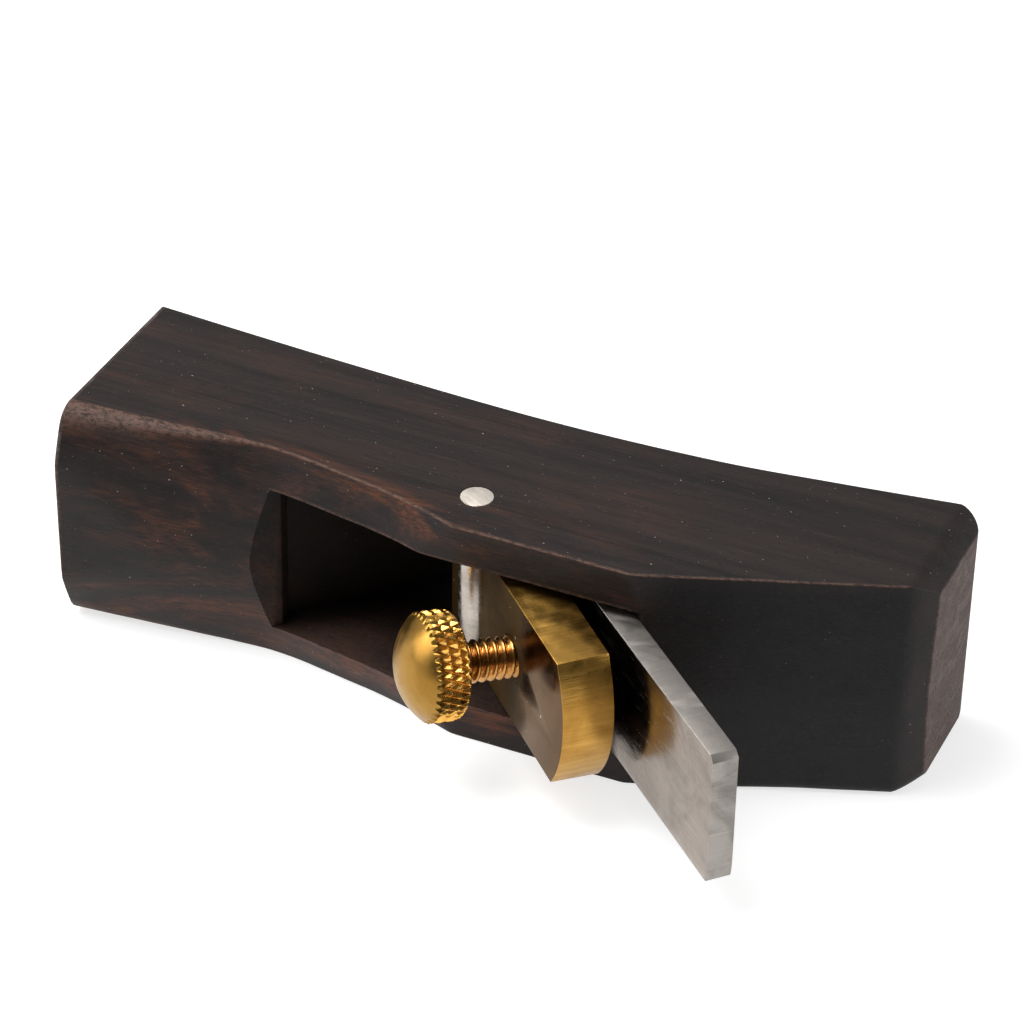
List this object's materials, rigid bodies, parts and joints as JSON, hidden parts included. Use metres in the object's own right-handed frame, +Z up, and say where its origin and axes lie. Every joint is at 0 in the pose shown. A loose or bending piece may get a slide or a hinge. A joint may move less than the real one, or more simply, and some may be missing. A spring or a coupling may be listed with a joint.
{
  "type": "spokeshave",
  "caption": "Small dark hardwood hand plane with a hollow sole, used as a spokeshave, with a steel blade, a cross pin and a brass lever cap tightened by a thumbscrew.",
  "frame": {"origin": "middle of the bounding box's bottom face, on the surface that the tool's lower cheek lies on", "axes": "+X from the toe to the heel of the stock, +Y from its top towards the sole, +Z up, across the stock from the lower cheek to the upper one"},
  "size_m": [0.1, 0.0466, 0.028],
  "materials": {
    "wood": "near-black brown hardwood, oiled and satin, with fine streaks and reddish patches",
    "pin_steel": "bright shaft, ends filed flush and matt",
    "blade_steel": "ground steel, slightly blotched",
    "brass": "polished faces, cross-brushed edges and a knurled rim"
  },
  "bodies": {
    "stock": {"stock": "wood", "cross_pin": "pin_steel"},
    "blade": {"blade": "blade_steel"},
    "lever_cap": {"lever_cap": "brass"},
    "screw_shank": {"thumbscrew_shank": "brass"},
    "screw_head": {"thumbscrew_head": "brass"}
  },
  "joints": [
    {"name": "blade_slide", "type": "slide", "parent": "stock", "child": "blade", "axis": [0.7314, -0.682, 0], "range_m": [-0.0015, 0.008]},
    {"name": "cap_tilt", "type": "hinge", "parent": "stock", "child": "lever_cap", "pos_m": [-0.00105, 0.0017, 0.014], "axis": [0, 0, 1], "range_deg": [0, 5.3]},
    {"name": "screw_travel", "type": "slide", "parent": "lever_cap", "child": "screw_shank", "axis": [-0.7039, -0.7039, 0.0958], "range_m": [0, 0.001]},
    {"name": "screw_turn", "type": "hinge", "parent": "screw_shank", "child": "screw_head", "pos_m": [0.00669, -0.00604, 0.014], "axis": [-0.7039, -0.7039, 0.0958], "range_deg": [0, 360]}
  ],
  "couplings": [
    {"joint": "screw_turn", "follows": "screw_travel", "rad_per_m": 6283.2},
    {"joint": "cap_tilt", "follows": "screw_travel", "rad_per_m": 90.9}
  ]
}
